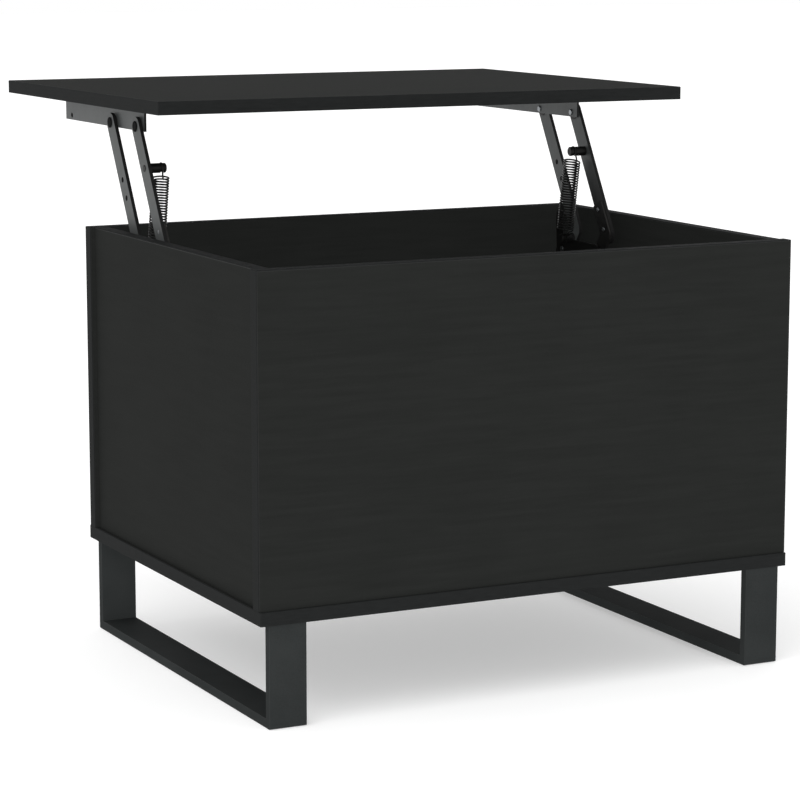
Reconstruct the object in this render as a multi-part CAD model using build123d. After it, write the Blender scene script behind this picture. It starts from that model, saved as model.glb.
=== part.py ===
from build123d import *
from math import atan2, cos, degrees, hypot, radians, sin
import os

# Lift top coffee table, drawn with its top raised and pushed out towards +Y.
# X runs along the long side, -Y is the back, Z is up and the floor is at z = 0.
# Everything is drawn about the cabinet's middle, then moved back by MIDDLE_Y so that
# the origin is under the middle of the whole raised table.
# Lengths are in millimetres and angles in degrees.

# ---- cabinet -------------------------------------------------------------------
TOP_W = 600.0
TOP_D = 445.0
BOARD = 13.5
BASE_W = 588.0
BASE_D = 451.0
BOX_W = 589.0
BOX_D = 444.0
WALL_H = 321.5
SIDE_RECESS = 5.5
EDGE_ROUND = 0.8

# ---- legs: flat tube bent into an open frame under each end ---------------------
LEG_H = 100.5
LEG_BAR_W = 38.5
LEG_BAR_T = 9.0
LEG_INSET_X = 9.0
LEG_INSET_Y = 1.0
LEG_PLATE_L = 62.0
LEG_PLATE_T = 2.0

# ---- lift motion ----------------------------------------------------------------
REST_GAP = 0.5
LIFT_Y = 221.0
LIFT_Z = 128.5
SWING = 102.0
ARM_LEAN = 30.0

# ---- lift arms and brackets -----------------------------------------------------
ARM_X = 259.0
ARM_T = 3.8
ARM_W = 20.0
ARM_STRAIGHT = 150.0
ELBOW_ROUND = 6.0
PLATE_T = 2.5
BEND_ROUND = 2.0
WASHER_T = 0.8
WASHER_R = 8.0
SIDE_GAP = 0.3
PIVOT_SPACING = 71.0
PIVOT_DROP = 21.3
PIVOT_FROM_CENTRE = 66.0
PIVOT_R = 4.0
PIVOT_HEAD_R = 5.6
TENON_R = 2.4
TENON_HEAD_R = 3.4
TENON_HEAD_T = 1.5
FLANGE_H = 26.3
FLANGE_BACK = 13.0
FLANGE_L = 232.0
FLANGE_REACH = 28.0
MOUNT_H = 44.0

# ---- spring and its studs -------------------------------------------------------
STUD_R = 5.1
STUD_SHANK_R = 3.0
STUD_S = 48.0
STUD_END_X = 239.7
SPRING_X = 244.5
GROOVE_R = 4.0
GROOVE_W = 2.8
BASE_STUD_AHEAD = 52.5
BASE_STUD_ABOVE = 14.0
COIL_R = 8.6
WIRE_R = 0.9
COIL_PITCH = 2.85
HOOK_L = 4.9
TAIL = 1.2

# ---- screws, cams and fits ------------------------------------------------------
FIT = 0.05
SCREW_R = 1.9
SCREW_L = 10.5
SCREW_HEAD_R = 3.8
SCREW_HEAD_T = 2.2
PANEL_SCREW_R = 2.5
PANEL_SCREW_L = 42.0
PANEL_SCREW_HEAD_R = 5.0
PANEL_SCREW_HEAD_T = 3.0
CAM_R = 7.4
CAM_T = 10.4
CAM_REACH = 24.0
BOLT_R = 3.0
DOWEL_R = 4.0
DOWEL_L = 28.0
DOWEL_IN_PANEL = 9.0
END_SPACE = 0.5
SMALL_HOLE_R = 2.0
ARM_HOLE_R = 2.9
DOT_R = 2.6
ARM_FOOT_T = 2.5
ARM_FOOT_W = 18.4
FLUSH_T = 1.1
FLUSH_GAP = 0.1
STOP_R = 4.0
STOP_GAP = 0.1

# ---- levels and faces worked out from the sizes above ---------------------------
BASE_TOP = LEG_H + BOARD
RIM = BASE_TOP + WALL_H
TOP_UNDER = RIM + REST_GAP + LIFT_Z
LONG_FACE_Y = BOX_D / 2
LONG_INNER_Y = LONG_FACE_Y - BOARD
SIDE_FACE_X = BOX_W / 2 - SIDE_RECESS
SIDE_INNER_X = SIDE_FACE_X - BOARD
PLATE_OUT_X = ARM_X - SIDE_GAP - WASHER_T
PLATE_IN_X = PLATE_OUT_X - PLATE_T
ARM_OUT_X = ARM_X + ARM_T

# The near arm's foot and the cabinet bracket step inwards, so that the far arm, a hair
# further out, lies over the near arm's lower pivot when the table is closed.
FAR_X = ARM_X + SIDE_GAP
FAR_OUT_X = FAR_X + ARM_T
ARM_FOOT_X = ARM_X - ARM_FOOT_T
FOOT_OUT_X = ARM_FOOT_X - SIDE_GAP - WASHER_T
FOOT_IN_X = FOOT_OUT_X - PLATE_T

# ---- linkage: the chord between the two ends of the swing fixes the arm ----------
CHORD = hypot(LIFT_Y, LIFT_Z)
OPEN_ANGLE = degrees(atan2(LIFT_Z, LIFT_Y)) + 90 - SWING / 2
ARM_L = CHORD / (2 * sin(radians(SWING / 2)))
UPPER_Z = TOP_UNDER - PIVOT_DROP
NEAR_UPPER = (LIFT_Y - PIVOT_FROM_CENTRE, UPPER_Z)
FAR_UPPER = (NEAR_UPPER[0] + PIVOT_SPACING, UPPER_Z)
REACH_Y = ARM_L * cos(radians(OPEN_ANGLE))
REACH_Z = ARM_L * sin(radians(OPEN_ANGLE))
NEAR_LOWER = (NEAR_UPPER[0] - REACH_Y, UPPER_Z - REACH_Z)
FAR_LOWER = (FAR_UPPER[0] - REACH_Y, UPPER_Z - REACH_Z)
DOWN_Y = -sin(radians(ARM_LEAN))
DOWN_Z = -cos(radians(ARM_LEAN))
BASE_STUD_Y = NEAR_LOWER[0] + BASE_STUD_AHEAD
BASE_STUD_Z = NEAR_LOWER[1] + BASE_STUD_ABOVE

# The foot bracket steps out to the side panel below everything that swings.
ELBOW_LOW = sin(radians(90 + ARM_LEAN - SWING)) * ARM_STRAIGHT
LEDGE_Z = UPPER_Z - LIFT_Z - ELBOW_LOW - ARM_W / 2 - 8.0
FOOT_Y0 = NEAR_LOWER[0] - 4.0
FOOT_Y1 = FAR_LOWER[0] + 14.0
FLANGE_Y0 = NEAR_UPPER[0] - FLANGE_BACK
FLANGE_Y1 = FLANGE_Y0 + FLANGE_L

# Middle of the raised table in Y, from the base's back edge to the top's front edge.
MIDDLE_Y = (LIFT_Y + TOP_D / 2 - BASE_D / 2) / 2

# Places of the repeated holes.
FAR_HOLES = (67.0, 88.0)
ARM_FOOT_DOTS = (119.6, 143.5)
ARM_FOOT_S = 112.0
TOP_SCREW_Y = [FLANGE_Y0 + FLANGE_L * k for k in (0.16, 0.4, 0.64, 0.9)]
TOP_SCREW_X = PLATE_OUT_X - FLANGE_REACH / 2 - 2.0
FOOT_SCREWS = [(y, LEDGE_Z - d) for y in (FOOT_Y0 + 12, FOOT_Y1 - 12) for d in (14, MOUNT_H - 9)]
CAM_Z = (BASE_TOP + 55.0, RIM - 70.0)
DOWEL_Z = (BASE_TOP + 120.0, RIM - 120.0)
PANEL_SCREW_X = (-200.0, 0.0, 200.0)
PANEL_SCREW_Y = (-125.0, 125.0)
LEG_OUT_X = BASE_W / 2 - LEG_INSET_X
LEG_IN_X = LEG_OUT_X - LEG_BAR_W
LEG_OUT_Y = BASE_D / 2 - LEG_INSET_Y
LEG_MID_X = (LEG_OUT_X + LEG_IN_X) / 2
LEG_SCREW_Y = (LEG_OUT_Y - LEG_BAR_T - 16.0, LEG_OUT_Y - LEG_PLATE_L + 9.0)


def block(x0, x1, y0, y1, z0, z1):
    """A box given by its six faces."""
    centre = ((x0 + x1) / 2, (y0 + y1) / 2, (z0 + z1) / 2)
    return Pos(*centre) * Box(x1 - x0, y1 - y0, z1 - z0)


def pin_x(x0, x1, y, z, r):
    """A round pin along X."""
    return Pos((x0 + x1) / 2, y, z) * Rot(0, 90, 0) * Cylinder(r, x1 - x0)


def pin_y(y0, y1, x, z, r):
    """A round pin along Y."""
    return Pos(x, (y0 + y1) / 2, z) * Rot(90, 0, 0) * Cylinder(r, y1 - y0)


def pin_z(z0, z1, x, y, r):
    """A round pin along Z."""
    return Pos(x, y, (z0 + z1) / 2) * Cylinder(r, z1 - z0)


def plate(sketch, x0, x1):
    """A sketch drawn in (Y, Z) made into a plate between two X planes."""
    side = Plane(origin=(x0, 0, 0), x_dir=(0, 1, 0), z_dir=(1, 0, 0))
    return extrude(side * sketch, amount=x1 - x0)


def bar(a, b, width):
    """A round-ended bar outline between two (Y, Z) points."""
    mid = ((a[0] + b[0]) / 2, (a[1] + b[1]) / 2)
    turn = degrees(atan2(b[1] - a[1], b[0] - a[0]))
    length = hypot(b[0] - a[0], b[1] - a[1])
    return Pos(*mid) * Rot(0, 0, turn) * SlotCenterToCenter(length, width)


def along(upper, s, off=0.0):
    """The point s below an upper pivot on its arm, moved off towards +Y."""
    return (upper[0] + DOWN_Y * s - DOWN_Z * off, upper[1] + DOWN_Z * s + DOWN_Y * off)


def group(parts):
    """Loose solids of one kind kept together."""
    return Compound(children=[p.solid() for p in parts])


def rounded(part, axis, radius):
    """Round every edge of a board that runs along one axis."""
    return fillet(part.edges().filter_by(axis), radius)


def mirrored(part):
    """The same part for the other side of the table."""
    return mirror(part, about=Plane.YZ)


def dome_x(x0, x1, y, z, r):
    """A rivet head along X with its outer rim rounded at x1."""
    lo, hi = min(x0, x1), max(x0, x1)
    head = pin_x(lo, hi, y, z, r)
    rim = head.edges().filter_by(GeomType.CIRCLE)
    outer = rim.sort_by(Axis.X)[-1] if x1 > x0 else rim.sort_by(Axis.X)[0]
    return fillet(outer, (hi - lo) * 0.7)


# ---- boards ---------------------------------------------------------------------
def table_top():
    top = block(-TOP_W / 2, TOP_W / 2, LIFT_Y - TOP_D / 2, LIFT_Y + TOP_D / 2, TOP_UNDER, TOP_UNDER + BOARD)
    top = rounded(top, Axis.Z, EDGE_ROUND * 1.5)
    top = fillet(top.faces().sort_by(Axis.Z)[-1].edges(), EDGE_ROUND)
    for side in (-1, 1):
        for y in TOP_SCREW_Y:
            top -= pin_z(TOP_UNDER, TOP_UNDER + SCREW_L + END_SPACE, side * TOP_SCREW_X, y, SCREW_R + FIT)
    return top


def base_board():
    base = block(-BASE_W / 2, BASE_W / 2, -BASE_D / 2, BASE_D / 2, LEG_H, BASE_TOP)
    base = rounded(base, Axis.Z, EDGE_ROUND * 1.5)
    base = fillet(base.faces().sort_by(Axis.Z)[-1].edges(), EDGE_ROUND)
    for x, y in panel_screw_places():
        base -= pin_z(LEG_H, BASE_TOP, x, y, PANEL_SCREW_R + FIT)
        base -= pin_z(LEG_H, LEG_H + PANEL_SCREW_HEAD_T + FIT, x, y, PANEL_SCREW_HEAD_R + FIT)
    for x, y in leg_screw_places():
        base -= pin_z(LEG_H, LEG_H + SCREW_L + END_SPACE, x, y, SCREW_R + FIT)
    return base


def panel_screw_places():
    long_y = LONG_FACE_Y - BOARD / 2
    side_x = SIDE_FACE_X - BOARD / 2
    places = [(x, s * long_y) for s in (-1, 1) for x in PANEL_SCREW_X]
    places += [(s * side_x, y) for s in (-1, 1) for y in PANEL_SCREW_Y]
    return places


def leg_screw_places():
    return [(sx * LEG_MID_X, sy * y) for sx in (-1, 1) for sy in (-1, 1) for y in LEG_SCREW_Y]


def panel_screw_bores(board):
    for x, y in panel_screw_places():
        top = LEG_H + PANEL_SCREW_L + END_SPACE
        board -= pin_z(BASE_TOP, top, x, y, PANEL_SCREW_R + FIT)
    return board


def long_panel(side):
    y0 = min(side * LONG_INNER_Y, side * LONG_FACE_Y)
    panel = block(-BOX_W / 2, BOX_W / 2, y0, y0 + BOARD, BASE_TOP, RIM)
    panel = rounded(panel, Axis.Z, EDGE_ROUND)
    panel = fillet(panel.faces().sort_by(Axis.Z)[-1].edges().filter_by(Axis.X), EDGE_ROUND)
    inner = side * LONG_INNER_Y
    for sx in (-1, 1):
        x = sx * (SIDE_FACE_X - BOARD / 2)
        for z in CAM_Z:
            end = inner + side * (8.0 + END_SPACE)
            panel -= pin_y(min(inner, end), max(inner, end), x, z, BOLT_R + FIT)
        for z in DOWEL_Z:
            end = inner + side * (DOWEL_IN_PANEL + END_SPACE)
            panel -= pin_y(min(inner, end), max(inner, end), x, z, DOWEL_R + FIT)
    return panel_screw_bores(panel)


def side_panel(sx):
    x0 = min(sx * SIDE_INNER_X, sx * SIDE_FACE_X)
    panel = block(x0, x0 + BOARD, -LONG_INNER_Y, LONG_INNER_Y, BASE_TOP, RIM)
    panel = fillet(panel.faces().sort_by(Axis.Z)[-1].edges().filter_by(Axis.Y), EDGE_ROUND)
    mid = sx * (SIDE_FACE_X - BOARD / 2)
    inner = sx * SIDE_INNER_X
    pocket = sx * (SIDE_INNER_X + CAM_T + END_SPACE)
    for sy in (-1, 1):
        for z in CAM_Z:
            y = sy * (LONG_INNER_Y - CAM_REACH)
            panel -= pin_x(min(inner, pocket), max(inner, pocket), y, z, CAM_R + FIT)
            panel -= pin_y(min(y, sy * LONG_INNER_Y), max(y, sy * LONG_INNER_Y), mid, z, BOLT_R + 0.6)
        for z in DOWEL_Z:
            end = sy * (LONG_INNER_Y - DOWEL_L + DOWEL_IN_PANEL - END_SPACE)
            panel -= pin_y(min(end, sy * LONG_INNER_Y), max(end, sy * LONG_INNER_Y), mid, z, DOWEL_R + FIT)
    bore = sx * (SIDE_INNER_X + SCREW_L + END_SPACE - PLATE_T)
    for y, z in FOOT_SCREWS:
        panel -= pin_x(min(inner, bore), max(inner, bore), y, z, SCREW_R + FIT)
    return panel_screw_bores(panel)


# ---- joinery --------------------------------------------------------------------
def corner_places(levels):
    return [(sx, sy, z) for sx in (-1, 1) for sy in (-1, 1) for z in levels]


def cam_locks():
    cams = []
    for sx, sy, z in corner_places(CAM_Z):
        inner = sx * SIDE_INNER_X
        end = sx * (SIDE_INNER_X + CAM_T)
        y = sy * (LONG_INNER_Y - CAM_REACH)
        cam = pin_x(min(inner, end), max(inner, end), y, z, CAM_R)
        mouth = sy * (LONG_INNER_Y - CAM_REACH + CAM_R + 1)
        mid = sx * (SIDE_FACE_X - BOARD / 2)
        cam -= pin_y(min(y, mouth), max(y, mouth), mid, z, BOLT_R + 0.6)
        slot = sx * (SIDE_INNER_X + 1.2)
        cam -= block(min(inner, slot), max(inner, slot), y - 4.5, y + 4.5, z - 0.7, z + 0.7)
        cam -= block(min(inner, slot), max(inner, slot), y - 0.7, y + 0.7, z - 4.5, z + 4.5)
        cams.append(cam)
    return group(cams)


def cam_bolts():
    bolts = []
    for sx, sy, z in corner_places(CAM_Z):
        mid = sx * (SIDE_FACE_X - BOARD / 2)
        root = sy * (LONG_INNER_Y + 8.0)
        tip = sy * (LONG_INNER_Y - CAM_REACH + 1.0)
        neck = sy * (LONG_INNER_Y - CAM_REACH + 6.0)
        bolt = pin_y(min(root, tip), max(root, tip), mid, z, BOLT_R - 0.8)
        bolt += pin_y(min(root, sy * LONG_INNER_Y), max(root, sy * LONG_INNER_Y), mid, z, BOLT_R)
        bolt += pin_y(min(tip, neck), max(tip, neck), mid, z, BOLT_R)
        bolts.append(bolt)
    return group(bolts)


def dowels():
    pegs = []
    for sx, sy, z in corner_places(DOWEL_Z):
        mid = sx * (SIDE_FACE_X - BOARD / 2)
        a = sy * (LONG_INNER_Y + DOWEL_IN_PANEL)
        b = sy * (LONG_INNER_Y + DOWEL_IN_PANEL - DOWEL_L)
        peg = pin_y(min(a, b), max(a, b), mid, z, DOWEL_R)
        pegs.append(chamfer(peg.edges().filter_by(GeomType.CIRCLE), 0.8))
    return group(pegs)


def panel_screws():
    screws = []
    for x, y in panel_screw_places():
        screw = pin_z(LEG_H, LEG_H + PANEL_SCREW_HEAD_T, x, y, PANEL_SCREW_HEAD_R)
        screw += pin_z(LEG_H, LEG_H + PANEL_SCREW_L, x, y, PANEL_SCREW_R)
        screw -= pin_z(LEG_H, LEG_H + 2.0, x, y, 2.0)
        screws.append(screw)
    return group(screws)


# ---- legs -----------------------------------------------------------------------
def leg_frame():
    outline = block(LEG_IN_X, LEG_OUT_X, -LEG_OUT_Y, LEG_OUT_Y, 0, LEG_H)
    low_edges = outline.edges().filter_by(Axis.X).sort_by(Axis.Z)[:2]
    outline = fillet(low_edges, 1.5)
    gap = LEG_OUT_Y - LEG_BAR_T
    outline -= block(LEG_IN_X, LEG_OUT_X, -gap, gap, LEG_BAR_T, LEG_H)
    for sy in (-1, 1):
        y0 = min(sy * gap, sy * (LEG_OUT_Y - LEG_PLATE_L))
        y1 = max(sy * gap, sy * (LEG_OUT_Y - LEG_PLATE_L))
        outline += block(LEG_IN_X, LEG_OUT_X, y0, y1, LEG_H - LEG_PLATE_T, LEG_H)
        for y in LEG_SCREW_Y:
            outline -= pin_z(LEG_H - LEG_PLATE_T, LEG_H, LEG_MID_X, sy * y, SCREW_R + 0.3)
    return outline


def leg_screws():
    screws = []
    under = LEG_H - LEG_PLATE_T
    for x, y in leg_screw_places():
        screw = pin_z(under - SCREW_HEAD_T, under, x, y, SCREW_HEAD_R)
        screw = fillet(screw.edges().filter_by(GeomType.CIRCLE).sort_by(Axis.Z)[0], 1.2)
        screw += pin_z(under, LEG_H + SCREW_L - 0.5, x, y, SCREW_R)
        screw -= block(x - 1.9, x + 1.9, y - 0.4, y + 0.4, under - SCREW_HEAD_T, under - 0.9)
        screw -= block(x - 0.4, x + 0.4, y - 1.9, y + 1.9, under - SCREW_HEAD_T, under - 0.9)
        screws.append(screw)
    return group(screws)


# ---- lift hardware, drawn for the +X side ---------------------------------------
def far_arm():
    elbow = along(FAR_UPPER, ARM_STRAIGHT)
    shape = bar(FAR_UPPER, elbow, ARM_W) + bar(elbow, FAR_LOWER, ARM_W)
    bend = shape.vertices().sort_by_distance((elbow[0] + ARM_W, elbow[1]))[0]
    shape = fillet(bend, ELBOW_ROUND)
    for point in (FAR_UPPER, FAR_LOWER):
        shape -= Pos(*point) * Circle(PIVOT_R + FIT)
    for s in FAR_HOLES:
        shape -= Pos(*along(FAR_UPPER, s)) * Circle(ARM_HOLE_R)
    return plate(shape, FAR_X, FAR_OUT_X)


def near_arm():
    shape = bar(NEAR_UPPER, along(NEAR_UPPER, ARM_STRAIGHT), ARM_W)
    shape -= Pos(*NEAR_UPPER) * Circle(PIVOT_R + FIT)
    shape -= Pos(*along(NEAR_UPPER, STUD_S)) * Circle(STUD_SHANK_R + FIT)
    for s in ARM_FOOT_DOTS:
        shape -= Pos(*along(NEAR_UPPER, s)) * Circle(SMALL_HOLE_R + FIT)
    return plate(shape, ARM_X, ARM_OUT_X)


def near_arm_foot():
    elbow = along(NEAR_UPPER, ARM_STRAIGHT)
    mid = along(NEAR_UPPER, (ARM_STRAIGHT + ARM_FOOT_S) / 2)
    head = Rectangle(ARM_STRAIGHT - ARM_FOOT_S, ARM_FOOT_W)
    head = fillet(head.vertices(), 2.0)
    shape = bar(elbow, NEAR_LOWER, ARM_FOOT_W) + Pos(*elbow) * Circle(ARM_FOOT_W / 2)
    shape += Pos(*mid) * Rot(0, 0, 90 - ARM_LEAN) * head
    shape -= Pos(*NEAR_LOWER) * Circle(PIVOT_R + FIT)
    for s in ARM_FOOT_DOTS:
        shape -= Pos(*along(NEAR_UPPER, s)) * Circle(SMALL_HOLE_R + FIT)
    sunk = ARM_X - FLUSH_T - FLUSH_GAP
    return plate(shape, ARM_FOOT_X, ARM_X) - pin_x(sunk, ARM_X, *NEAR_LOWER, PIVOT_HEAD_R + FIT)


def arm_foot_rivets():
    rivets = []
    for s in ARM_FOOT_DOTS:
        y, z = along(NEAR_UPPER, s)
        rivet = pin_x(ARM_FOOT_X, ARM_OUT_X, y, z, SMALL_HOLE_R)
        rivets.append(rivet + dome_x(ARM_FOOT_X, ARM_FOOT_X - 1.1, y, z, DOT_R))
    return group(rivets)


def grooved_stud(x0, y, z):
    stud = pin_x(STUD_END_X, x0, y, z, STUD_R)
    stud = chamfer(stud.edges().filter_by(GeomType.CIRCLE).sort_by(Axis.X)[0], 0.8)
    ring = pin_x(SPRING_X - GROOVE_W / 2, SPRING_X + GROOVE_W / 2, y, z, STUD_R + 1)
    ring -= pin_x(SPRING_X - GROOVE_W / 2, SPRING_X + GROOVE_W / 2, y, z, GROOVE_R)
    return stud - ring


def arm_stud():
    y, z = along(NEAR_UPPER, STUD_S)
    stud = grooved_stud(ARM_X, y, z)
    stud += pin_x(ARM_X, ARM_OUT_X, y, z, STUD_SHANK_R)
    return stud + dome_x(ARM_OUT_X, ARM_OUT_X + 0.7, y, z, STUD_SHANK_R + 0.6)


def base_stud():
    stud = grooved_stud(FOOT_IN_X, BASE_STUD_Y, BASE_STUD_Z)
    return stud + pin_x(FOOT_IN_X, FOOT_OUT_X, BASE_STUD_Y, BASE_STUD_Z, STUD_SHANK_R)


def stop_place():
    return along(FAR_UPPER, ARM_STRAIGHT - 22.0, ARM_W / 2 + STOP_R + STOP_GAP)


def stop_post():
    y, z = stop_place()
    post = pin_x(FOOT_OUT_X, FAR_OUT_X + 0.8, y, z, STOP_R)
    return post + pin_x(FOOT_IN_X, FOOT_OUT_X, y, z, STUD_SHANK_R)


def top_bracket():
    web = block(PLATE_IN_X, PLATE_OUT_X, FLANGE_Y0, FLANGE_Y1, TOP_UNDER - FLANGE_H, TOP_UNDER)
    reach_x = PLATE_OUT_X - FLANGE_REACH
    web += block(reach_x, PLATE_OUT_X, FLANGE_Y0, FLANGE_Y1, TOP_UNDER - PLATE_T, TOP_UNDER)
    bend = web.edges().filter_by(Axis.Y).sort_by_distance((PLATE_OUT_X, FLANGE_Y0, TOP_UNDER))[0]
    web = fillet(bend, BEND_ROUND)
    for y, z in (NEAR_UPPER, FAR_UPPER):
        web -= pin_x(PLATE_IN_X, PLATE_OUT_X, y, z, TENON_R + FIT)
    web -= pin_x(PLATE_IN_X, PLATE_OUT_X, FLANGE_Y1 - 18.5, UPPER_Z, ARM_HOLE_R)
    for y in TOP_SCREW_Y:
        web -= pin_z(TOP_UNDER - PLATE_T, TOP_UNDER, TOP_SCREW_X, y, SCREW_R + 0.3)
    return web


def base_bracket():
    shape = bar(NEAR_LOWER, FAR_LOWER, ARM_W + 4)
    low = Polygon(
        (FOOT_Y0, LEDGE_Z - PLATE_T),
        (FOOT_Y1, LEDGE_Z - PLATE_T),
        (FOOT_Y1, NEAR_LOWER[1]),
        (NEAR_LOWER[0] - 9, NEAR_LOWER[1]),
        align=None,
    )
    shape += low
    shape += bar((BASE_STUD_Y, BASE_STUD_Z), (BASE_STUD_Y + 2, NEAR_LOWER[1]), STUD_R * 2 + 1)
    shape += bar(stop_place(), (FAR_LOWER[0] + 5, FAR_LOWER[1]), 15.0)
    for point in (NEAR_LOWER, FAR_LOWER):
        shape -= Pos(*point) * Circle(TENON_R + FIT)
    for point in (stop_place(), (BASE_STUD_Y, BASE_STUD_Z)):
        shape -= Pos(*point) * Circle(STUD_SHANK_R + FIT)
    foot = plate(shape, FOOT_IN_X, FOOT_OUT_X)
    foot += block(FOOT_IN_X, SIDE_INNER_X, FOOT_Y0, FOOT_Y1, LEDGE_Z - PLATE_T, LEDGE_Z)
    foot += block(SIDE_INNER_X - PLATE_T, SIDE_INNER_X, FOOT_Y0, FOOT_Y1, LEDGE_Z - MOUNT_H, LEDGE_Z)
    corner = (SIDE_INNER_X, FOOT_Y0, LEDGE_Z)
    foot = fillet(foot.edges().filter_by(Axis.Y).sort_by_distance(corner)[0], BEND_ROUND)
    for y, z in FOOT_SCREWS:
        foot -= pin_x(SIDE_INNER_X - PLATE_T, SIDE_INNER_X, y, z, SCREW_R + 0.3)
    return foot


def tenon(inner, shoulder, y, z):
    """The thin end of a pivot, riveted over on the inner face of its bracket."""
    end = pin_x(inner, shoulder, y, z, TENON_R)
    return end + dome_x(inner, inner - TENON_HEAD_T, y, z, TENON_HEAD_R)


def pivot_rivet(inner, shoulder, cap, y, z):
    """A shouldered pivot whose wide outer head holds a washer and an arm."""
    rivet = pin_x(shoulder, cap + 0.8, y, z, PIVOT_R) + tenon(inner, shoulder, y, z)
    return rivet + dome_x(cap, cap + 0.9, y, z, PIVOT_HEAD_R)


def flush_rivet(y, z):
    """The near lower pivot, whose outer head is sunk level with the arm's foot."""
    rivet = pin_x(FOOT_OUT_X, ARM_X, y, z, PIVOT_R) + tenon(FOOT_IN_X, FOOT_OUT_X, y, z)
    return rivet + pin_x(ARM_X - FLUSH_T, ARM_X, y, z, PIVOT_HEAD_R)


def upper_rivets():
    near = pivot_rivet(PLATE_IN_X, PLATE_OUT_X, ARM_OUT_X + SIDE_GAP, *NEAR_UPPER)
    return group([near, pivot_rivet(PLATE_IN_X, PLATE_OUT_X, FAR_OUT_X + SIDE_GAP, *FAR_UPPER)])


def lower_rivets():
    far = pivot_rivet(FOOT_IN_X, FOOT_OUT_X, FAR_OUT_X + SIDE_GAP, *FAR_LOWER)
    return group([flush_rivet(*NEAR_LOWER), far])


def washer(x0, x1, y, z):
    return pin_x(x0, x1, y, z, WASHER_R) - pin_x(x0, x1, y, z, PIVOT_R + FIT)


def upper_washers():
    near = washer(PLATE_OUT_X, PLATE_OUT_X + WASHER_T, *NEAR_UPPER)
    return group([near, washer(PLATE_OUT_X, FAR_X - SIDE_GAP, *FAR_UPPER)])


def lower_washers():
    near = washer(FOOT_OUT_X, FOOT_OUT_X + WASHER_T, *NEAR_LOWER)
    return group([near, washer(FOOT_OUT_X, FAR_X - SIDE_GAP, *FAR_LOWER)])


def spring():
    upper = along(NEAR_UPPER, STUD_S)
    lower = (BASE_STUD_Y, BASE_STUD_Z)
    span = hypot(upper[0] - lower[0], upper[1] - lower[1])
    ring_r = GROOVE_R + WIRE_R + 0.1
    coil_l = span - 2 * (ring_r + HOOK_L)
    body_z = ring_r + HOOK_L
    pitch = coil_l / round(coil_l / COIL_PITCH)
    path = Helix(pitch=pitch, height=coil_l, radius=COIL_R, center=(0, 0, body_z))
    start = Plane(origin=path @ 0, z_dir=path % 0)
    wire = sweep(start * Circle(WIRE_R), path=path)
    parts = [wire.solid()]
    for z, way in ((0.0, 1), (span, -1)):
        loop = Pos(0, 0, z) * Rot(0, 90, 0) * Torus(ring_r, WIRE_R)
        stem_z = (z + way * ring_r, z + way * body_z)
        stem = pin_z(min(stem_z), max(stem_z), 0, 0, WIRE_R)
        tail = pin_x(0, COIL_R + WIRE_R * TAIL, 0, z + way * body_z, WIRE_R * TAIL)
        parts.append((loop + stem + tail).solid())
    turn = degrees(atan2(upper[1] - lower[1], upper[0] - lower[0]))
    whole = parts[0]
    for part in parts[1:]:
        whole = whole + part
    place = Pos(SPRING_X, lower[0], lower[1]) * Rot(turn - 90, 0, 0)
    return place * whole


def bracket_screws_top():
    screws = []
    under = TOP_UNDER - PLATE_T
    for y in TOP_SCREW_Y:
        screw = pin_z(under - SCREW_HEAD_T, under, TOP_SCREW_X, y, SCREW_HEAD_R)
        screw = fillet(screw.edges().filter_by(GeomType.CIRCLE).sort_by(Axis.Z)[0], 1.2)
        screws.append(screw + pin_z(under, under + SCREW_L, TOP_SCREW_X, y, SCREW_R))
    return group(screws)


def bracket_screws_base():
    screws = []
    face = SIDE_INNER_X - PLATE_T
    for y, z in FOOT_SCREWS:
        head = dome_x(face, face - SCREW_HEAD_T, y, z, SCREW_HEAD_R)
        screws.append(head + pin_x(face, face + SCREW_L, y, z, SCREW_R))
    return group(screws)


# ---- every piece ----------------------------------------------------------------
pieces = {
    "table_top": table_top(),
    "base_board": base_board(),
    "back_panel": long_panel(-1),
    "front_panel": long_panel(1),
    "left_panel": side_panel(-1),
    "right_panel": side_panel(1),
    "cam_locks": cam_locks(),
    "cam_bolts": cam_bolts(),
    "dowels": dowels(),
    "panel_screws": panel_screws(),
    "leg_screws": leg_screws(),
}
two_sided = {
    "leg_frame": leg_frame(),
    "far_arm": far_arm(),
    "near_arm": near_arm(),
    "near_arm_foot": near_arm_foot(),
    "arm_foot_rivets": arm_foot_rivets(),
    "arm_stud": arm_stud(),
    "base_stud": base_stud(),
    "stop_post": stop_post(),
    "top_bracket": top_bracket(),
    "base_bracket": base_bracket(),
    "upper_rivets": upper_rivets(),
    "lower_rivets": lower_rivets(),
    "upper_washers": upper_washers(),
    "lower_washers": lower_washers(),
    "top_bracket_screws": bracket_screws_top(),
    "base_bracket_screws": bracket_screws_base(),
}
for name, piece in two_sided.items():
    pieces["right_" + name] = piece
    pieces["left_" + name] = mirrored(piece)

# Both springs are the same part, wound the same way, so the left one is not a mirror image.
pieces["right_lift_spring"] = spring()
pieces["left_lift_spring"] = Pos(-2 * SPRING_X, 0, 0) * spring()

os.makedirs("parts", exist_ok=True)
for name, piece in pieces.items():
    export_step(Pos(0, -MIDDLE_Y, 0) * piece, "parts/" + name + ".step")
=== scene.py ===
import math

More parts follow.
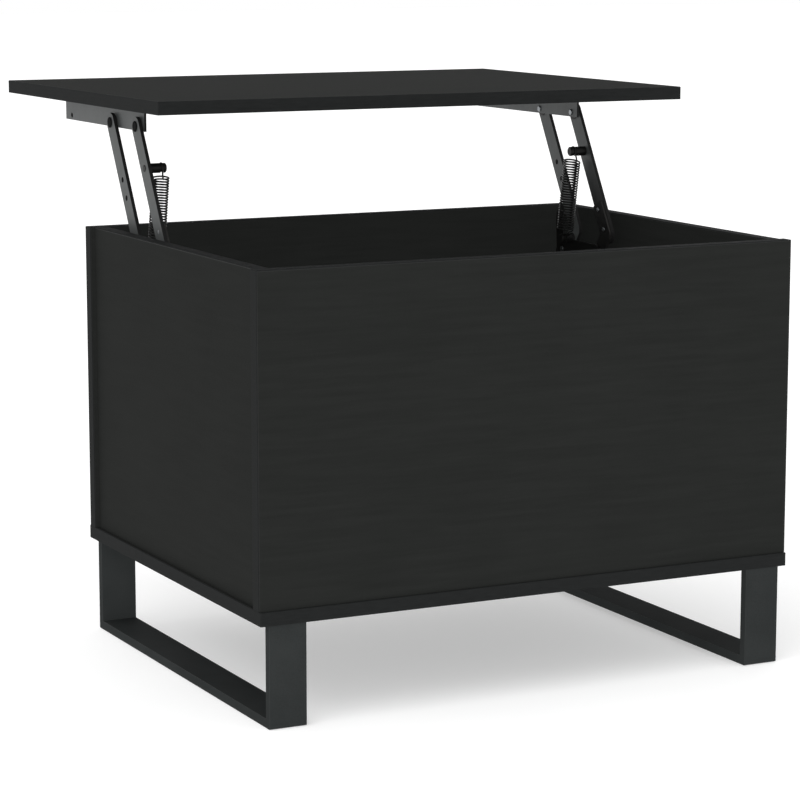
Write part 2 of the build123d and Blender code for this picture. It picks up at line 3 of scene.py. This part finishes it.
import bpy
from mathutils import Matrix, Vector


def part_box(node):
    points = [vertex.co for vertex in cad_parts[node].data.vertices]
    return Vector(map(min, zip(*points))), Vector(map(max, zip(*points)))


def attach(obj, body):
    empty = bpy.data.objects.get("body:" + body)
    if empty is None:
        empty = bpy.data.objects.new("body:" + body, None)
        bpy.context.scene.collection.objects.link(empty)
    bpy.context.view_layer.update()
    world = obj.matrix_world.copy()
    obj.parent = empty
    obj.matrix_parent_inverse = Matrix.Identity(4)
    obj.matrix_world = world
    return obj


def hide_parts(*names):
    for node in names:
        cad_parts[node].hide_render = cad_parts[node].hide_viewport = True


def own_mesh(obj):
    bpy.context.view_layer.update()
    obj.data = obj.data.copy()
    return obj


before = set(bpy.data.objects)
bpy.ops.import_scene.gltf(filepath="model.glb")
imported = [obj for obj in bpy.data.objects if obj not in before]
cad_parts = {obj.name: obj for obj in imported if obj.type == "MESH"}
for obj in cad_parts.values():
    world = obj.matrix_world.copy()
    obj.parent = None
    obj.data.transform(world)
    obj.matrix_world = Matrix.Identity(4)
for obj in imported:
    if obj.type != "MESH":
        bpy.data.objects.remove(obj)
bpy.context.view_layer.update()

MM = 0.001
SIDES = {"left": -1, "right": 1}
NEAR_ARM = {"left": "left_near_arm", "right": "right_near_arm"}
FAR_ARM = {"left": "left_far_arm", "right": "right_far_arm"}


# ---- small tools ----------------------------------------------------------------
def linear(code):
    """An sRGB hex colour as the linear RGBA that the shaders take."""
    out = []
    for at in (1, 3, 5):
        c = int(code[at : at + 2], 16) / 255
        out.append(c / 12.92 if c <= 0.04045 else ((c + 0.055) / 1.055) ** 2.4)
    return (*out, 1.0)


def add(tree, kind, put=None, **links):
    """One shader node with its settings, and the sockets that feed it."""
    node = tree.nodes.new(kind)
    for name, value in (put or {}).items():
        if name == "stops":
            for element, (place, colour) in zip(node.color_ramp.elements, value):
                element.position = place
                element.color = linear(colour)
        elif isinstance(name, str) and hasattr(node, name):
            setattr(node, name, value)
        else:
            node.inputs[name].default_value = value
    for name, source in links.items():
        tree.links.new(source, node.inputs[name.replace("_", " ")])
    return node


def finish_shader(name, put, colour, rough, height, distance):
    """A new material. Its colour, roughness and bump come from the nodes that colour, rough and
    height make."""
    material = bpy.data.materials.new(name)
    material.use_nodes = True
    tree = material.node_tree
    tree.nodes.clear()
    place = add(tree, "ShaderNodeTexCoord").outputs["Object"]
    bump = add(
        tree,
        "ShaderNodeBump",
        {"Strength": 1.0, "Distance": distance},
        Height=height(tree, place),
    )
    shader = add(
        tree,
        "ShaderNodeBsdfPrincipled",
        put,
        Base_Color=colour(tree, place),
        Roughness=rough(tree, place),
        Normal=bump.outputs["Normal"],
    )
    out = add(tree, "ShaderNodeOutputMaterial", None, Surface=shader.outputs["BSDF"])
    out.is_active_output = True
    return material


def speckle(size_mm, detail, stretch=(1, 1, 1)):
    """Noise whose blotches are about size_mm across, drawn out along the axes with a small stretch value."""

    def make(tree, place):
        laid = add(tree, "ShaderNodeMapping", {"Scale": stretch}, Vector=place)
        return add(
            tree,
            "ShaderNodeTexNoise",
            {"Scale": 1 / (size_mm * MM), "Detail": detail, "Roughness": 0.6},
            Vector=laid.outputs["Vector"],
        ).outputs["Fac"]

    return make


def between(pattern, low, high):
    """The pattern turned to numbers from low to high."""

    def make(tree, place):
        return add(
            tree,
            "ShaderNodeMapRange",
            {"From Min": 0.3, "From Max": 0.7, "To Min": low, "To Max": high},
            Value=pattern(tree, place),
        ).outputs["Result"]

    return make


def shaded(pattern, dark, light, low=0.3, high=0.7):
    """The pattern turned to colours from dark to light."""

    def make(tree, place):
        return add(
            tree,
            "ShaderNodeValToRGB",
            {"stops": [(low, dark), (high, light)]},
            Fac=pattern(tree, place),
        ).outputs["Color"]

    return make


def summed(first, second, share):
    """Two patterns added, with the second one weaker."""

    def make(tree, place):
        weak = add(tree, "ShaderNodeMath", {"operation": "MULTIPLY", 1: share})
        tree.links.new(second(tree, place), weak.inputs[0])
        both = add(tree, "ShaderNodeMath", {"operation": "ADD"})
        tree.links.new(first(tree, place), both.inputs[0])
        tree.links.new(weak.outputs[0], both.inputs[1])
        return both.outputs[0]

    return make


# ---- finishes -------------------------------------------------------------------
def melamine(name, grain):
    """Black melamine-faced chipboard, pressed against a plate with fine pores. The eye gets a flat
    charcoal with faint streaks along the grain and a soft sheen. Real pores are 0.1 mm and
    are drawn 0.9 mm across so that they show."""
    along = tuple(0.06 if k == grain else 1 for k in range(3))
    streak = speckle(4.5, 4, along)
    pore = speckle(0.9, 2, tuple(0.25 if k == grain else 1 for k in range(3)))
    cloud = speckle(90, 2)
    return finish_shader(
        name,
        {"IOR": 1.5, "Specular IOR Level": 0.03},
        shaded(summed(streak, cloud, 0.35), "#1b1c1b", "#1f201f", 0.42, 0.92),
        between(summed(pore, streak, 0.4), 0.64, 0.8),
        summed(pore, streak, 0.5),
        0.00006,
    )


def abs_edging():
    """Black ABS edge band, extruded and hot-glued, then scraped flush. The eye gets a slightly
    lighter and smoother line round each board, with faint draw lines."""
    draw = speckle(1.6, 3, (0.12, 0.12, 1))
    return finish_shader(
        "abs_edging",
        {"IOR": 1.53, "Specular IOR Level": 0.03},
        shaded(draw, "#181919", "#1d1e1e"),
        between(draw, 0.6, 0.74),
        draw,
        0.00003,
    )


def glue_line():
    """The dark hair line of hot-melt glue between an edge band and the board's face."""
    bead = speckle(2.5, 2)
    return finish_shader(
        "glue_line",
        {"IOR": 1.48},
        shaded(bead, "#111111", "#1c1c1c"),
        between(bead, 0.55, 0.7),
        bead,
        0.00002,
    )


def powder_coat():
    """Anthracite polyester powder coat, baked on flat steel tube. The eye gets an even dark grey
    with a fine sand texture. The real grit is 0.2 mm and is drawn 0.7 mm across."""
    grit = speckle(0.7, 2)
    cloud = speckle(60, 2)
    return finish_shader(
        "powder_coat",
        {"IOR": 1.5, "Specular IOR Level": 0.02},
        shaded(summed(grit, cloud, 0.6), "#222424", "#2a2c2c", 0.6, 1.0),
        between(grit, 0.62, 0.76),
        grit,
        0.00005,
    )


def powder_coat_lit_edge():
    """The same powder coat on a tube's rounded edge, painted a little paler as a highlight, and shinier."""
    grit = speckle(0.9, 2)
    return finish_shader(
        "powder_coat_lit_edge",
        {"IOR": 1.5, "Specular IOR Level": 0.06},
        shaded(grit, "#272929", "#303232"),
        between(grit, 0.32, 0.44),
        grit,
        0.00003,
    )


def painted_shade_below(colour, low, high):
    """Painted shade: the colour, sinking to near black from the height high down to the height low."""

    def make(tree, place):
        up = add(tree, "ShaderNodeSeparateXYZ", None, Vector=place)
        share = add(
            tree,
            "ShaderNodeMapRange",
            {"interpolation_type": "SMOOTHSTEP", "From Min": low, "From Max": high},
            Value=up.outputs["Z"],
        )
        # Mixes toward the near black of the painted shade.
        mix = add(
            tree,
            "ShaderNodeMix",
            {"data_type": "RGBA", 6: linear("#151515")},
            Factor=share.outputs["Result"],
        )
        tree.links.new(colour(tree, place), mix.inputs[7])
        return mix.outputs[2]

    return make


def grey_strip(name, lean, tones, shade_span=None):
    """Grey zinc-nickel plated steel strip, rolled and stamped. The eye gets a mid grey satin face
    with faint roll lines along it and cloudy patches from the bath. The last argument gives the
    two heights between which painted shade turns it black towards the bottom."""
    turn = math.radians(lean)

    def rolled(tree, place):
        laid = add(
            tree,
            "ShaderNodeMapping",
            {"Rotation": (turn, 0, 0), "Scale": (1, 1, 0.05)},
            Vector=place,
        )
        return add(
            tree,
            "ShaderNodeTexNoise",
            {"Scale": 1100.0, "Detail": 3.0, "Roughness": 0.6},
            Vector=laid.outputs["Vector"],
        ).outputs["Fac"]

    cloud = speckle(14, 3)
    dark, light = tones
    colour = shaded(summed(rolled, cloud, 0.8), dark, light, 0.65, 1.15)
    if shade_span:
        colour = painted_shade_below(colour, *shade_span)
    return finish_shader(
        name,
        {"Metallic": 0.25, "IOR": 1.5},
        colour,
        between(summed(rolled, cloud, 0.3), 0.4, 0.55),
        rolled,
        0.00003,
    )


def painted_shade_edge():
    """The stamped edge of a strip, painted near black as shade. The eye gets a near black rim with
    fine burr lines across it."""
    burr = speckle(0.8, 2, (0.2, 1, 1))
    return finish_shader(
        "painted_shade_edge",
        {"Metallic": 0.0, "IOR": 1.45, "Specular IOR Level": 0.2},
        shaded(burr, "#0c0c0c", "#181818"),
        between(burr, 0.55, 0.7),
        burr,
        0.00003,
    )


def black_oxide(name, dark, light):
    """Black oxide on turned or stamped steel, wiped with oil. The eye gets a deep black with a soft
    metal shine and brownish-grey rubbed spots."""
    cloud = speckle(6, 4)
    fine = speckle(0.8, 2)
    return finish_shader(
        name,
        {"Metallic": 0.6},
        shaded(cloud, dark, light),
        between(summed(cloud, fine, 0.3), 0.36, 0.52),
        fine,
        0.00002,
    )


def painted_shade_head():
    """The end of a pivot, turned dull, lying in the arm's shadow and painted almost pure black as that
    shade. The eye gets almost pure black with faint rings of turning."""
    ring = speckle(0.9, 2)
    return finish_shader(
        "painted_shade_head",
        {"IOR": 1.45, "Specular IOR Level": 0.05},
        shaded(ring, "#030303", "#0a0a0a"),
        between(ring, 0.6, 0.75),
        ring,
        0.00002,
    )


def spring_wire():
    """Oil-tempered carbon steel spring wire, drawn and wound cold. The eye gets black coils with
    bright thin glints and short draw marks."""
    mark = speckle(1.2, 3)
    return finish_shader(
        "spring_wire",
        {"Metallic": 0.7},
        shaded(mark, "#161616", "#262625"),
        between(mark, 0.3, 0.42),
        mark,
        0.00001,
    )


def bright_zinc():
    """Bright zinc plate with a clear blue passivation on formed rivets and screws. The eye gets a
    cool silver with small frosted patches."""
    cloud = speckle(2.5, 3)
    return finish_shader(
        "bright_zinc",
        {"Metallic": 1.0},
        shaded(cloud, "#85898d", "#a6a9ab"),
        between(cloud, 0.3, 0.46),
        cloud,
        0.00002,
    )


def cast_zinc():
    """Die-cast zinc cam blackened by tumbling, with the dull grain of the mould."""
    grain = speckle(1.1, 3)
    return finish_shader(
        "cast_zinc",
        {"Metallic": 0.5},
        shaded(grain, "#262626", "#333333"),
        between(grain, 0.45, 0.6),
        grain,
        0.00004,
    )


def nylon():
    """Black moulded nylon washers. The eye gets a dull black with a waxy, slightly cloudy face."""
    cloud = speckle(3, 2)
    return finish_shader(
        "nylon",
        {"IOR": 1.53, "Specular IOR Level": 0.35},
        shaded(cloud, "#131313", "#1b1b1b"),
        between(cloud, 0.45, 0.6),
        cloud,
        0.00002,
    )


def beech():
    """Turned beech dowels with pressed flutes: pale pinkish tan with short darker flecks."""
    fleck = speckle(1.0, 3, (1, 0.15, 1))
    return finish_shader(
        "beech",
        {"IOR": 1.45, "Specular IOR Level": 0.3},
        shaded(fleck, "#a9805a", "#c9a379"),
        between(fleck, 0.55, 0.7),
        fleck,
        0.00005,
    )


ALONG_X, ALONG_Y = 0, 1
ARM_TONES = ("#343636", "#424444")
FLANGE_TONES = ("#393b3b", "#474949")
ARM_LEAN = -30
LYING = 90
board_x = melamine("melamine_along_x", ALONG_X)
board_y = melamine("melamine_along_y", ALONG_Y)
edging = abs_edging()
glue = glue_line()
coat = powder_coat()
# The paler coat for the rounded edges is a painted highlight.
coat_lit_edge = powder_coat_lit_edge()
strip_leaning = grey_strip("grey_strip_leaning", ARM_LEAN, ARM_TONES)
strip_level = grey_strip("grey_strip_level", LYING, FLANGE_TONES)
stud_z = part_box("left_arm_stud")[0].z
# Painted shade on the near arm's inner face: full black from 55 mm below its stud, gone 12 mm above it.
SHADE_BLACK_BELOW = 55 * MM
SHADE_GONE_ABOVE = 12 * MM
shade_heights = (stud_z - SHADE_BLACK_BELOW, stud_z + SHADE_GONE_ABOVE)
strip_painted_shade = grey_strip("grey_strip_painted_shade", ARM_LEAN, ARM_TONES, shade_heights)
# The near black for the plates' cut rims is painted shade.
rim_shade = painted_shade_edge()
oxide = black_oxide("black_oxide", "#0e0e0e", "#1a1a19")
# A paler copy of the black oxide: a painted highlight on the foot plates' lit rims.
oxide_lit_rim = black_oxide("black_oxide_lit_rim", "#1b1b1a", "#2a2928")
# Near pure black for the pivot ends in the arm: painted shade.
shade_black = painted_shade_head()
wire = spring_wire()
zinc = bright_zinc()
cast = cast_zinc()
washer_nylon = nylon()
dowel_beech = beech()


# ---- making and finishing pieces ------------------------------------------------
def pick(piece):
    """Only this piece selected and active, in object mode."""
    if bpy.context.object and bpy.context.object.mode != "OBJECT":
        bpy.ops.object.mode_set(mode="OBJECT")
    bpy.ops.object.select_all(action="DESELECT")
    piece.select_set(True)
    bpy.context.view_layer.objects.active = piece


def taken_from(node, name):
    """The node's shape as a closed mesh of its own, with its flat faces made whole again."""
    piece = bpy.data.objects.new(name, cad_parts[node].data.copy())
    piece.data.materials.clear()
    bpy.context.scene.collection.objects.link(piece)
    pick(piece)
    bpy.ops.object.mode_set(mode="EDIT")
    bpy.ops.mesh.select_all(action="SELECT")
    bpy.ops.mesh.remove_doubles(threshold=0.000005)
    bpy.ops.mesh.dissolve_limited(angle_limit=math.radians(1.0))
    bpy.ops.object.mode_set(mode="OBJECT")
    if piece.data.has_custom_normals:
        bpy.ops.mesh.customdata_custom_splitnormals_clear()
    return piece


def soften(piece, width_mm, edge_finish=-1, angle=38):
    """Breaks every sharp edge, with the given edge finish on the break, and applies it."""
    pick(piece)
    bevel = piece.modifiers.new("break", "BEVEL")
    bevel.width = width_mm * MM
    bevel.segments = 2
    bevel.limit_method = "ANGLE"
    bevel.angle_limit = math.radians(angle)
    bevel.material = edge_finish
    bevel.use_clamp_overlap = True
    bpy.ops.object.modifier_apply(modifier=bevel.name)
    settle(piece)


def settle(piece):
    """Smooth shading with even normals over the flat faces."""
    pick(piece)
    bpy.ops.object.shade_smooth_by_angle(angle=math.radians(40))
    even = piece.modifiers.new("even", "WEIGHTED_NORMAL")
    even.keep_sharp = True
    bpy.ops.object.modifier_apply(modifier=even.name)


def finished(piece, body, slot, *nodes):
    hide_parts(*nodes)
    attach(piece, body)
    return piece


def coated_with(piece, *materials):
    for material in materials:
        piece.data.materials.append(material)
    return piece


# ---- boards ---------------------------------------------------------------------
BAND_MM = 1.1
GLUE_MM = 0.25
PANEL_BANDS = ((0, -1), (0, 1), (2, 1))
TOP_BANDS = ((0, -1), (0, 1), (1, -1), (1, 1))
SIDE_BANDS = ((2, 1),)


def board(node, body, face, bands):
    """A board with its edge bands marked off by a hair line of glue.

    bands gives the banded ends as (axis, which end)."""
    piece = taken_from(node, node + "_board")
    coated_with(piece, face, edging, glue)
    low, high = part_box(node)
    cuts = []
    for axis, end in bands:
        level = (low if end < 0 else high)[axis]
        inner = level - end * (BAND_MM + GLUE_MM) * MM
        outer = level - end * BAND_MM * MM
        cuts.append((axis, end, inner, outer))
    pick(piece)
    bpy.ops.object.mode_set(mode="EDIT")
    for axis, end, inner, outer in cuts:
        for level in (inner, outer):
            point = [0, 0, 0]
            point[axis] = level
            normal = [0, 0, 0]
            normal[axis] = 1
            bpy.ops.mesh.select_all(action="SELECT")
            bpy.ops.mesh.bisect(plane_co=point, plane_no=normal)
    bpy.ops.object.mode_set(mode="OBJECT")
    for face_of in piece.data.polygons:
        centre = face_of.center
        for axis, end, inner, outer in cuts:
            if (centre[axis] - outer) * end > 0:
                face_of.material_index = 1
                break
            if (centre[axis] - inner) * end > 0:
                face_of.material_index = 2
    settle(piece)
    return finished(piece, body, "grey_board", node)


board("table_top", "top", board_x, TOP_BANDS)
board("base_board", "cabinet", board_x, TOP_BANDS)
board("back_panel", "cabinet", board_x, PANEL_BANDS)
board("front_panel", "cabinet", board_x, PANEL_BANDS)
board("left_panel", "cabinet", board_y, SIDE_BANDS)
board("right_panel", "cabinet", board_y, SIDE_BANDS)


# ---- legs -----------------------------------------------------------------------
def leg(side):
    """A flat steel tube loop with its edges rounded over and painted paler there as a highlight."""
    node = side + "_leg_frame"
    piece = coated_with(taken_from(node, side + "_leg"), coat, coat_lit_edge)
    soften(piece, 0.9, edge_finish=1)
    return finished(piece, "cabinet", "leg_paint", node)


for side in SIDES:
    leg(side)


# ---- lift arms and brackets -----------------------------------------------------
def stamped(node, body, face, slot, rim=None, inner=None):
    """A stamped plate: its broad faces plated, its cut rim painted dark as shade unless rim gives another
    finish, and the edge between them broken.

    inner is the finish of the face toward the middle of the table."""
    piece = coated_with(taken_from(node, node + "_plate"), face, rim or rim_shade)
    for polygon in piece.data.polygons:
        polygon.material_index = 0 if abs(polygon.normal.x) > 0.7 else 1
    if inner:
        coated_with(piece, inner)
        for polygon in piece.data.polygons:
            if polygon.normal.x * polygon.center.x < -0.7 * abs(polygon.center.x):
                polygon.material_index = 2
    soften(piece, 0.3, edge_finish=-1)
    return finished(piece, body, slot, node)


def bent(node, body, face, slot):
    """A bracket folded from plate, whose two cut ends are painted dark as shade."""
    piece = coated_with(taken_from(node, node + "_fold"), face, rim_shade)
    for polygon in piece.data.polygons:
        polygon.material_index = 1 if abs(polygon.normal.y) > 0.7 else 0
    soften(piece, 0.3, edge_finish=-1)
    return finished(piece, body, slot, node)


for side in SIDES:
    stamped(side + "_far_arm", FAR_ARM[side], strip_leaning, "grey_steel")
    # The near arm's inner face takes the strip with painted shade, darker towards the bottom.
    stamped(side + "_near_arm", NEAR_ARM[side], strip_leaning, "grey_steel", inner=strip_painted_shade)
    # The foot plate's rim takes the paler oxide, a painted highlight on its edges.
    stamped(side + "_near_arm_foot", NEAR_ARM[side], oxide, "black_steel", oxide_lit_rim)
    bent(side + "_top_bracket", "top", strip_level, "grey_steel")
    bent(side + "_base_bracket", "cabinet", oxide, "black_steel")


# ---- rivets, studs and washers --------------------------------------------------
TENON_DEPTH = 2.5 * MM


def rivets(node, body, slot):
    """Rivets whose inner heads are bright zinc and whose outer ends, in the arm, are painted black as shade.
    """
    piece = coated_with(taken_from(node, node + "_set"), zinc, shade_black)
    low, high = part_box(node)
    inward = low.x if abs(low.x) < abs(high.x) else high.x
    for polygon in piece.data.polygons:
        depth = abs(polygon.center.x - inward)
        polygon.material_index = 0 if depth < TENON_DEPTH else 1
    settle(piece)
    return finished(piece, body, slot, node)


def turned(node, body, slot, material):
    """A turned or moulded part with its rims just broken."""
    piece = coated_with(taken_from(node, node + "_turned"), material)
    soften(piece, 0.15, edge_finish=-1, angle=50)
    return finished(piece, body, slot, node)


for side in SIDES:
    rivets(side + "_upper_rivets", "top", "zinc")
    rivets(side + "_lower_rivets", "cabinet", "zinc")
    turned(side + "_arm_foot_rivets", NEAR_ARM[side], "zinc", zinc)
    turned(side + "_arm_stud", NEAR_ARM[side], "black_steel", oxide)
    turned(side + "_base_stud", "cabinet", "black_steel", oxide)
    turned(side + "_stop_post", "cabinet", "black_steel", oxide)
    turned(side + "_upper_washers", "top", "nylon", washer_nylon)
    turned(side + "_lower_washers", "cabinet", "nylon", washer_nylon)


# ---- springs --------------------------------------------------------------------
WIRE_R = 0.9 * MM
COIL_R = 8.6 * MM
LOOP_R = 5.0 * MM
RISE = 9.9 * MM
PITCH = 2.85 * MM
PER_TURN = 28
CUT = 0.37
# The bend from the last coil up to the eye, from the stud's middle: across, behind and up, in mm.
BEND = ((0.5, -8.5, -9.5), (0.8, -8.2, -8.3), (0.8, -7.7, -6.9), (0.7, -7.0, -5.5),
        (0.5, -6.3, -4.1), (0.3, -5.7, -2.7), (0.1, -5.2, -1.3))
EYE_TURN = range(180, -75, -15)


def middle(node):
    low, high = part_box(node)
    return (low + high) / 2


def eye_line():
    """The wire from the top coil up the back of a stud, over it and part of the way under."""
    line = [(x * MM, y * MM, z * MM) for x, y, z in BEND]
    for turn in EYE_TURN:
        t = math.radians(turn)
        line.append((0.0, LOOP_R * math.cos(t), LOOP_R * math.sin(t)))
    return line


def wound(name, line):
    """A length of round spring wire along a line of points, as a closed mesh."""
    curve = bpy.data.curves.new(name, "CURVE")
    curve.dimensions = "3D"
    curve.bevel_depth = WIRE_R
    curve.bevel_resolution = 3
    curve.use_fill_caps = True
    path = curve.splines.new("POLY")
    path.points.add(len(line) - 1)
    for point, at in zip(path.points, line):
        point.co = (*at, 1)
    piece = bpy.data.objects.new(name, curve)
    bpy.context.scene.collection.objects.link(piece)
    pick(piece)
    bpy.ops.object.convert(target="MESH")
    piece = bpy.context.object
    coated_with(piece, wire)
    bpy.ops.object.mode_set(mode="EDIT")
    bpy.ops.mesh.select_all(action="SELECT")
    bpy.ops.mesh.remove_doubles(threshold=0.000001)
    bpy.ops.mesh.normals_make_consistent(inside=False)
    bpy.ops.object.mode_set(mode="OBJECT")
    bpy.ops.object.shade_smooth_by_angle(angle=math.radians(60))
    return piece


def spring(side):
    """A close-wound tension spring with an eye at each end. The lower coils stay with the
    cabinet and press down as the arm folds, and the upper coils go with the near arm."""
    sign = SIDES[side]
    foot, head = middle(side + "_base_stud"), middle(side + "_arm_stud")
    coil_x = middle(side + "_lift_spring").x
    rise_y, rise_z = head.y - foot.y, head.z - foot.z
    span = math.hypot(rise_y, rise_z)
    lean_y, lean_z = rise_y / span, rise_z / span

    def placed(line):
        return [
            (coil_x + x * sign, foot.y + y * lean_z + z * lean_y, foot.z - y * lean_y + z * lean_z)
            for x, y, z in line
        ]

    length = span - 2 * RISE
    turns = round(length / PITCH)
    coil = []
    for k in range(turns * PER_TURN + 1):
        turn = 2 * math.pi * k / PER_TURN - math.pi / 2
        up = RISE + length * k / (turns * PER_TURN)
        coil.append((COIL_R * math.cos(turn), COIL_R * math.sin(turn), up))
    start = PER_TURN // 2
    cut = round(turns * (CUT * span - RISE) / length) * PER_TURN
    lower_eye = [(-x, y, -z) for x, y, z in reversed(eye_line())]
    upper_eye = [(x, y, z + span) for x, y, z in eye_line()]
    hook = wound(side + "_spring_foot_eye", placed(lower_eye + coil[: start + 1]))
    low_coil = wound(side + "_spring_low_coils", placed(coil[start : cut + 1]))
    upper = wound(side + "_spring_coils", placed(coil[cut:] + upper_eye))
    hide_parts(side + "_lift_spring")
    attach(hook, "cabinet")
    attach(low_coil, "cabinet")
    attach(upper, NEAR_ARM[side])
    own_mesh(low_coil)


for side in SIDES:
    spring(side)


# ---- screws and joinery ---------------------------------------------------------
def screws(node, body, slot, material):
    """Pan-head screws with their plated heads and threads in one finish."""
    piece = coated_with(taken_from(node, node + "_set"), material)
    settle(piece)
    return finished(piece, body, slot, node)


for side in SIDES:
    screws(side + "_top_bracket_screws", "top", "zinc", zinc)
    screws(side + "_base_bracket_screws", "cabinet", "zinc", zinc)
screws("leg_screws", "cabinet", "black_steel", oxide)
screws("panel_screws", "cabinet", "zinc", zinc)

for name, material in {"cam_locks": cast, "cam_bolts": zinc, "dowels": dowel_beech}.items():
    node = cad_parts[name]
    node.data.materials.clear()
    for place in node.material_slots:
        place.material = material
    if not node.material_slots:
        node.data.materials.append(material)


# ---- floor, lights and camera ---------------------------------------------------
FLOOR_GLOW = 0.3
FLOOR_SIZE = 30
FLOOR_MIDDLE = (0, 6, -0.0005)


def pale_floor():
    """A pale translucent table, lit a little from below so that shadows stay light."""
    bpy.ops.object.select_all(action="DESELECT")
    bpy.ops.mesh.primitive_plane_add(size=FLOOR_SIZE, location=FLOOR_MIDDLE)
    floor = bpy.context.object
    floor.name = "studio_floor"
    grain = speckle(400, 2)
    floor.data.materials.append(
        finish_shader(
            "studio_paint",
            {
                "IOR": 1.45,
                "Specular IOR Level": 0.1,
                "Emission Color": (1, 1, 1, 1),
                "Emission Strength": FLOOR_GLOW,
            },
            shaded(grain, "#e4e4e4", "#eaeaea"),
            between(grain, 0.8, 0.9),
            grain,
            0.0001,
        )
    )


def soft_light(name, strength, spread, elevation, from_left, shadow):
    """A distant soft light at its elevation, turned from_left of straight ahead, in degrees.
    Without a shadow it is only a fill, and it leaves no highlight either."""
    lamp = bpy.data.lights.new(name, "SUN")
    lamp.energy = strength
    lamp.angle = math.radians(spread)
    lamp.use_shadow = shadow
    holder = bpy.data.objects.new(name, lamp)
    bpy.context.scene.collection.objects.link(holder)
    holder.rotation_euler = (math.radians(90 - elevation), 0, -math.radians(from_left))
    holder.location = (-2, -3, 3)
    holder.visible_glossy = shadow


def pale_world():
    """An even white sky, which is the backdrop and the fill light."""
    world = bpy.data.worlds.new("studio_sky")
    world.use_nodes = True
    tree = world.node_tree
    tree.nodes.clear()
    fill = add(tree, "ShaderNodeBackground", {"Color": (1, 1, 1, 1), "Strength": SKY})
    backdrop = add(tree, "ShaderNodeBackground", {"Color": (1, 1, 1, 1), "Strength": 1.0})
    ray = add(tree, "ShaderNodeLightPath")
    mix = add(tree, "ShaderNodeMixShader", None, Fac=ray.outputs["Is Camera Ray"])
    tree.links.new(fill.outputs[0], mix.inputs[1])
    tree.links.new(backdrop.outputs[0], mix.inputs[2])
    add(tree, "ShaderNodeOutputWorld", None, Surface=mix.outputs[0])
    bpy.context.scene.world = world


SKY = 0.78
KEY = 0.9
KEY_ELEVATION = 60
KEY_FROM_LEFT = 60
FILL = 2.8
FILL_ELEVATION = 4
FILL_FROM_LEFT = 34
BEHIND = 180
KEY_SPREAD = 50
FILL_SPREAD = 20
pale_floor()
pale_world()
soft_light("soft_key", KEY, KEY_SPREAD, KEY_ELEVATION, KEY_FROM_LEFT, True)
soft_light("box_fill", FILL, FILL_SPREAD, FILL_ELEVATION, FILL_FROM_LEFT, False)
soft_light("back_fill", FILL, FILL_SPREAD, FILL_ELEVATION, FILL_FROM_LEFT + BEHIND, False)

CABINET_Y = middle("base_board").y
CAMERA_AWAY = (-1.34429, -2.60614)
CAMERA_HEIGHT = 0.74586
CAMERA_YAW = 0.465505
CAMERA_PITCH = 0.163940
CAMERA_LENS = 128.613
camera = bpy.data.cameras.new("camera")
camera.lens = CAMERA_LENS
camera.sensor_width = 36
camera.clip_end = 60
eye = bpy.data.objects.new("camera", camera)
bpy.context.scene.collection.objects.link(eye)
eye.location = (CAMERA_AWAY[0], CABINET_Y + CAMERA_AWAY[1], CAMERA_HEIGHT)
eye.rotation_euler = (math.pi / 2 - CAMERA_PITCH, 0, -CAMERA_YAW)
bpy.context.scene.camera = eye
bpy.context.scene.view_settings.view_transform = "Standard"
